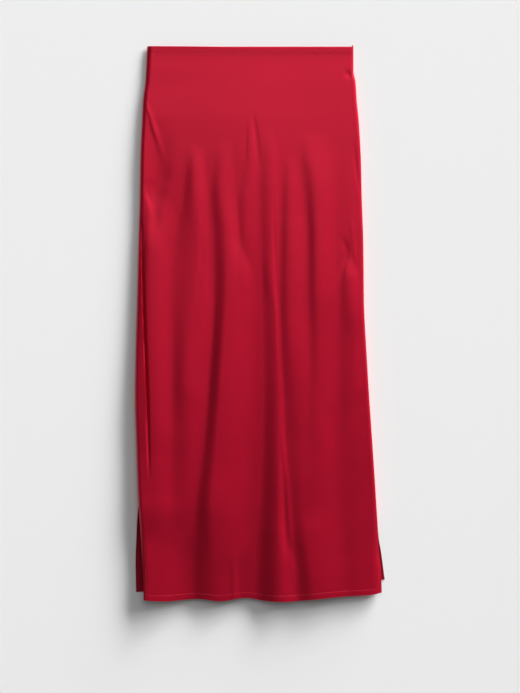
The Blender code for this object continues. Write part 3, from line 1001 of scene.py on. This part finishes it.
# ---------------------------------------------------------------- pieces
@dataclass
class ClothPiece:
    """One piece of the tube: a shell between two distances down."""

    name: str
    node: str
    slot: str
    cut: tuple[float, float]
    cut_area: float
    rests_on: tuple[str, ...] = ()
    thickness: float = 0.55
    end_columns: int = 8
    facing: float = 1.0
    seam_gap: float = 0.02
    turn_gap: float = 0.4

    def front_row(
        self,
        down: float,
        spread: Callable[[float, float], Points],
        line: Callable[[float, Points], Points],
    ) -> Points:
        """Outer points of the front at one distance down, from left to right.

        Args:
            down: Distance below the waist edge.
            spread: Gives the places between the two shoulders.
            line: Gives each point its own distance down.

        Returns:
            The points, in mm.
        """
        ends = []
        for name in ("left", "right"):
            side = Side(name, down)
            start = max(side.front_turn, side.seam_turn + self.turn_gap)
            ends.append(side.upper(np.linspace(start, 90.0, self.end_columns + 1)))
        middle = spread(ends[0][0][-1], ends[1][0][-1])
        across = np.concatenate((ends[0][0], middle, ends[1][0][::-1]))
        height = np.concatenate((ends[0][1], FORM.crown(down, middle), ends[1][1][::-1]))
        return np.column_stack((across, LENGTH / 2.0 - line(down, across), height))

    def back_row(
        self,
        down: float,
        columns: int,
        lift: Callable[[float, Points], Points],
        line: Callable[[float, Points], Points],
    ) -> Points:
        """Outer points of the back, on its underside, from left to right.

        Args:
            down: Distance below the waist edge.
            columns: How many columns lie between the two rises.
            lift: Gives the height of the underside's creases.
            line: Gives each point its own distance down.

        Returns:
            The points, in mm.
        """
        ends = []
        for name in ("left", "right"):
            side = Side(name, down)
            closed = down <= FORM.slit_top
            end = side.seam_turn - self.turn_gap if closed else side.back_turn
            angles = np.linspace(end, -90.0, self.end_columns + 1)
            ends.append(side.around(angles) if closed else side.lower(angles))
        first, last = ends[0][0][-1], ends[1][0][-1]
        middle = first + (last - first) * np.arange(1, columns) / columns
        inner = ease((middle - first) / 20.0) * ease((last - middle) / 20.0)
        across = np.concatenate((ends[0][0], middle, ends[1][0][::-1]))
        height = np.concatenate((ends[0][1], lift(down, middle) * inner, ends[1][1][::-1]))
        return np.column_stack((across, LENGTH / 2.0 - line(down, across), height))

    def section(self, down: float) -> Points:
        """Outer points at one distance down."""
        raise NotImplementedError

    def downs(self) -> Points:
        """Distances down of the piece's rows."""
        raise NotImplementedError

    def build(self) -> bpy.types.Object:
        """Build the piece's shell.

        Returns:
            The piece.
        """
        outer = np.array([self.section(down) for down in self.downs()])
        return ClothMesh(self.name, self.thickness).build(outer, self.facing)

    def across_path(self, down: float, inset: float = 2.0, lift: float = 0.0) -> Points:
        """Path of a row of stitches from side to side.

        Args:
            down: Distance below the waist edge.
            inset: How far inside the piece's sides it ends.
            lift: How far above the outer points it lies.

        Returns:
            Its points, in mm.
        """
        row = self.section(down)
        inside = (row[:, 0] > row[0, 0] + inset) & (row[:, 0] < row[-1, 0] - inset)
        return row[inside] + np.array((0.0, 0.0, lift))

    def slit_path(self, right: bool, inset: float = 5.0, lift: float = 0.0) -> Points:
        """Path of the stitches along one free edge of a slit."""
        points = []
        for down in np.linspace(FORM.slit_top + 4.0, LENGTH - 3.0, 56):
            row = self.section(down)
            across = row[-1, 0] - inset if right else row[0, 0] + inset
            points.append((across, np.interp(across, row[:, 0], row[:, 1]), np.interp(across, row[:, 0], row[:, 2])))
        return np.array(points) + np.array((0.0, 0.0, lift))

    def declare(self, piece: bpy.types.Object, faces: Sequence[bpy.types.Material], sewn: bpy.types.Object) -> None:
        """Args:
            piece: The shell.
            faces: Finishes of its outside and its inside.
            sewn: Its stitches.
        """
        for index, finish in enumerate(faces):
            piece.data.materials[index] = finish
        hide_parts(self.node)
        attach(piece, BODY)
        list(self.rests_on)
        LOG.info("%s: %d faces, %d in its stitches", piece.name, len(piece.data.polygons), len(sewn.data.polygons))


@dataclass
class FrontPanel(ClothPiece):
    """The front, with all its folds."""

    pull: float = 0.5
    stretches: tuple[int, ...] = (12, 44, 50, 48)
    rows: int = 262
    hem_rows: int = 16

    def guides(self, down: float) -> list[float]:
        """Where the sharpest folds run, which have the closest columns."""
        folds = {fold.name: fold for fold in MAIN_FOLDS + FINE_FOLDS}
        names = ("side_crevice", "left_middle_ridge", "centre_ridge")
        return [float(between(folds[name].stations, "across", down)) for name in names]

    def section(self, down: float) -> Points:
        """Outer points across the front at one distance down."""
        crevice, left_crest, centre_crest = self.guides(down)

        def spread(first: float, last: float) -> Points:
            """Places between the shoulders, bunched at the guides."""
            stops = (first, max(crevice, first + 3.0), left_crest, centre_crest, last)
            runs = [bunched(a, b, n, self.pull) for a, b, n in zip(stops, stops[1:], self.stretches)]
            return np.concatenate(runs)[1:]

        return self.front_row(down, spread, FORM.front_hem)

    def downs(self) -> Points:
        """Rows from just below the waistband, close together at the hem."""
        hem_top = LENGTH - FORM.hem_depth - 4.0
        return np.concatenate((
            np.linspace(FORM.band_depth + self.seam_gap, hem_top, self.rows, endpoint=False),
            np.linspace(hem_top, LENGTH, self.hem_rows),
        ))


@dataclass
class BackPanel(ClothPiece):
    """The back, which lies flat and rises to the seams at its sides."""

    facing: float = -1.0
    columns: int = 70
    rows: int = 190
    creases: int = 26
    crease_seed: int = 11

    def __post_init__(self) -> None:
        """Lay out the shallow creases of the underside."""
        draw = np.random.default_rng(self.crease_seed)
        self.underside = []
        for _ in range(self.creases):
            start, length = draw.uniform(60.0, 800.0), draw.uniform(90.0, 320.0)
            across, drift = draw.uniform(-165.0, 140.0), draw.uniform(-24.0, 24.0)
            height, width = draw.uniform(0.3, 1.5), draw.uniform(5.0, 16.0)
            end = min(start + length, LENGTH)
            middle = 0.5 * (start + end)
            self.underside.append(Fold("underside", (
                Station(start, across, 0.0, width, width),
                Station(middle, across + 0.6 * drift, height, 1.2 * width, width),
                Station(end, across + drift, 0.0, width, 1.3 * width),
            )))

    def lift(self, down: float, across: Points) -> Points:
        """Height of the underside's creases over the floor."""
        return sum((fold.relief(down, across) for fold in self.underside), np.zeros_like(across))

    def section(self, down: float) -> Points:
        """Outer points across the back, on its underside."""
        return self.back_row(down, self.columns, self.lift, FORM.back_hem)

    def downs(self) -> Points:
        """Rows from just below the waistband to the hem."""
        return np.linspace(FORM.band_depth + self.seam_gap, LENGTH, self.rows)


@dataclass
class Waistband(ClothPiece):
    """Half of the turned waist edge, with its elastic inside."""

    thickness: float = 1.2
    columns: int = 260
    rows: int = 13
    top_round: float = 1.2
    top_drop: float = 0.7

    def rounded(self, points: Points, down: float) -> Points:
        """Bend the turned edge in at the top."""
        rest = max(1.0 - down / self.top_round, 0.0)
        points[:, 2] -= self.facing * self.top_drop * (1.0 - sqrt(1.0 - rest * rest))
        return points

    def section(self, down: float) -> Points:
        """Outer points across the half at one distance down."""
        if self.facing > 0:
            spread = lambda first, last: np.linspace(first, last, self.columns + 1)[1:-1]
            return self.rounded(self.front_row(down, spread, FORM.waist_line), down)
        flat = lambda _, across: np.zeros_like(across)
        return self.rounded(self.back_row(down, self.columns, flat, FORM.straight_line), down)

    def downs(self) -> Points:
        """Rows from the top edge, where they are close, to the stitching."""
        edge = self.top_round * (1.0 - np.cos(np.linspace(0.0, 0.5 * pi, 6)))
        return np.concatenate((edge[:-1], np.linspace(self.top_round, FORM.band_depth, self.rows)))


@dataclass(frozen=True)
class Stitching:
    """Machine stitches as separate short lengths of thread, ends sunk in the cloth."""

    pitch: float = 2.8
    length: float = 2.3
    radius: float = 0.14
    sides: int = 6
    places: tuple[float, ...] = (0.0, 0.12, 0.35, 0.65, 0.88, 1.0)
    swell: tuple[float, ...] = (0.35, 0.8, 1.0, 1.0, 0.8, 0.35)
    rise: tuple[float, ...] = (-0.10, 0.0, 0.06, 0.06, 0.0, -0.10)

    def rings(self, path: Points, facing: float) -> Points:
        """Ring points of every stitch on one path.

        Args:
            path: Points on the cloth, in mm.
            facing: 1 where the stitches lie on top, -1 on the underside.

        Returns:
            An array of stitches, rings, sides and coordinates.
        """
        run = np.concatenate(((0.0,), np.cumsum(np.linalg.norm(np.diff(path, axis=0), axis=1))))
        starts = np.arange(0.5 * (self.pitch - self.length), run[-1] - self.length, self.pitch)
        along = starts[:, None] + self.length * np.array(self.places)
        centre = np.stack([np.interp(along, run, path[:, k]) for k in range(3)], axis=2)
        ahead = np.stack([np.interp(along + 0.2, run, path[:, k]) for k in range(3)], axis=2)
        behind = np.stack([np.interp(along - 0.2, run, path[:, k]) for k in range(3)], axis=2)
        tangent = ahead - behind
        tangent /= np.linalg.norm(tangent, axis=2, keepdims=True)
        normal = np.array((0.0, 0.0, facing)) - tangent * tangent[..., 2:] * facing
        normal /= np.linalg.norm(normal, axis=2, keepdims=True)
        beside = np.cross(tangent, normal)
        centre = centre + normal * np.array(self.rise)[None, :, None]
        turn = 2.0 * pi * np.arange(self.sides) / self.sides
        radius = self.radius * np.array(self.swell)[None, :, None, None]
        spoke = np.cos(turn)[:, None] * normal[:, :, None] + np.sin(turn)[:, None] * beside[:, :, None]
        return centre[:, :, None] + radius * spoke

    def build(self, name: str, paths: Sequence[tuple[Points, float]], slot: str) -> bpy.types.Object:
        """Sew all rows of one piece of cloth as one mesh.

        Args:
            name: Name of the new piece.
            paths: Each row's points and the way it faces.
            slot: Not used.

        Returns:
            The stitches.
        """
        rings = np.concatenate([self.rings(path, facing) for path, facing in paths])
        stitches, levels, sides = rings.shape[:3]
        index = np.arange(levels * sides).reshape(levels, sides)
        beyond = np.roll(index, -1, axis=1)
        walls = np.stack((index[:-1], beyond[:-1], beyond[1:], index[1:]), axis=2).reshape(-1, 4)
        shift = np.arange(stitches)[:, None, None] * levels * sides
        faces = (walls[None] + shift).reshape(-1, 4).tolist()
        for end in (index[0][::-1], index[-1]):
            faces += (end[None] + shift[:, 0]).tolist()
        mesh = bpy.data.meshes.new(name)
        mesh.from_pydata(rings.reshape(-1, 3) * MM, [], faces)
        mesh.shade_smooth()
        mesh.materials.append(THREAD.material())
        piece = bpy.data.objects.new(name, mesh)
        bpy.context.scene.collection.objects.link(piece)
        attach(piece, BODY)
        return piece


@dataclass
class Skirt:
    """The whole garment: two panels, two halves of the waistband and the sewing."""

    waist_row: float = 13.7

    def build(self) -> None:
        """Build, sew and dress every piece, hide its solid and attach it to the body."""
        faces = (SATIN.build(), SATIN_INSIDE.build())
        stitching = Stitching()
        back = BackPanel("back_panel_cloth", "back_panel", "satin", (0.455, 0.937), 0.392)
        front = FrontPanel("front_panel_cloth", "front_panel", "satin", (0.455, 0.937), 0.392, ("back_panel_cloth",))
        back_band = Waistband(
            "back_waistband_cloth", "back_waistband", "waist_satin", (0.372, 0.0146), 0.0054, facing=-1.0
        )
        front_band = Waistband(
            "front_waistband_cloth", "front_waistband", "waist_satin", (0.372, 0.0146), 0.0054, ("back_waistband_cloth",)
        )
        hem_row = LENGTH - FORM.hem_depth
        for panel in (back, front):
            piece = panel.build()
            levels = (0.0,) if panel.facing > 0 else (0.0, panel.thickness)
            paths = []
            for lift in levels:
                way = panel.facing if lift == 0.0 else -panel.facing
                paths.append((panel.across_path(hem_row, lift=lift), way))
                paths += [(panel.slit_path(right, lift=lift), way) for right in (False, True)]
            panel.declare(piece, faces, stitching.build(panel.node + "_stitches", paths, panel.slot))
        for band in (back_band, front_band):
            piece = band.build()
            paths = [(band.across_path(self.waist_row), band.facing)]
            band.declare(piece, faces, stitching.build(band.node + "_stitches", paths, band.slot))


# ---------------------------------------------------------------- the studio
@dataclass
class Studio:
    """The pale floor, the soft light and the camera straight above."""

    pixel: float = 1.7117 * MM
    frame_height: int = 693
    lens: float = 100.0
    sensor: float = 36.0
    aim_row: float = 346.5
    middle_row: float = 323.5
    cloth_plane: float = 10.0 * MM
    floor_size: float = 40.0
    key_reach: float = 2.25
    key_spans: tuple[float, ...] = (1.5, 2.9, 5.2)
    key_shares: tuple[float, ...] = (0.34, 0.36, 0.30)
    key_level: float = 2.1
    key_angle: float = 20.0
    sky: float = 0.155
    top_place: tuple[float, float, float] = (0.45, 2.2, 4.0)
    top_size: tuple[float, float] = (3.4, 3.2)
    top_power: float = 44.0

    def build(self) -> None:
        """Make the floor, the lights and the camera."""
        self._floor()
        self._lights()
        self._camera()

    def _floor(self) -> None:
        """Lay the floor just below the cloth."""
        half = self.floor_size / 2.0
        mesh = bpy.data.meshes.new("floor")
        corners = [(-half, -half, 0.0), (half, -half, 0.0), (half, half, 0.0), (-half, half, 0.0)]
        mesh.from_pydata(corners, [], [(0, 1, 2, 3)])
        floor = bpy.data.objects.new("floor", mesh)
        floor.location.z = -0.2 * MM
        mesh.materials.append(FloorFinish().build())
        bpy.context.scene.collection.objects.link(floor)
        floor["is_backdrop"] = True

    def _aimed(self, name: str, data: bpy.types.ID, place: Vector, target: Vector) -> bpy.types.Object:
        """Put a light or camera at a place, turned to a target."""
        made = bpy.data.objects.new(name, data)
        made.location = place
        made.rotation_mode = "QUATERNION"
        made.rotation_quaternion = (target - place).to_track_quat("-Z", "Y")
        bpy.context.scene.collection.objects.link(made)
        return made

    def _lights(self) -> None:
        """Hang the key light, a long strip beside the skirt, the top light and the even fill."""
        for number, (span, share) in enumerate(zip(self.key_spans, self.key_shares), 1):
            toward = Vector((self.key_reach, span, 1.0)).normalized()
            key = bpy.data.lights.new(f"key_{number}", "SUN")
            key.energy = self.key_level * share / toward.z
            key.angle = radians(self.key_angle)
            self._aimed(key.name, key, toward * 3.0, Vector((0.0, 0.0, 0.0)))
        top = bpy.data.lights.new("top", "AREA")
        top.energy = self.top_power
        top.shape = "RECTANGLE"
        top.size, top.size_y = self.top_size
        place = Vector(self.top_place)
        self._aimed("top", top, place, Vector((place.x, place.y, 0.0)))
        world = bpy.data.worlds.new("studio")
        world.use_nodes = True
        world.node_tree.nodes["Background"].inputs["Color"].default_value = (self.sky,) * 3 + (1.0,)
        bpy.context.scene.world = world
        bpy.context.scene.view_settings.view_transform = "Standard"

    def _camera(self) -> None:
        """Look straight down at the middle of the photograph's frame."""
        camera = bpy.data.cameras.new("camera")
        camera.lens = self.lens
        camera.sensor_width = self.sensor
        high = self.frame_height * self.pixel
        distance = high / 2.0 / tan(atan(self.sensor / 2.0 / self.lens)) + self.cloth_plane
        aim = Vector((0.0, (self.middle_row - self.aim_row) * self.pixel, 0.0))
        made = self._aimed("camera", camera, aim + Vector((0.0, 0.0, distance)), aim)
        bpy.context.scene.camera = made


def main() -> None:
    """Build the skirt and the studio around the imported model."""
    logging.basicConfig(level=logging.INFO, format="%(name)s %(message)s")
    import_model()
    solid_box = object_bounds()
    Studio().build()
    Skirt().build()
    dressed_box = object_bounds()
    boxes = {"solid": solid_box, "dressed": dressed_box}
    {name: [list(corner) for corner in box] for name, box in boxes.items()}


if __name__ == "__main__":
    main()
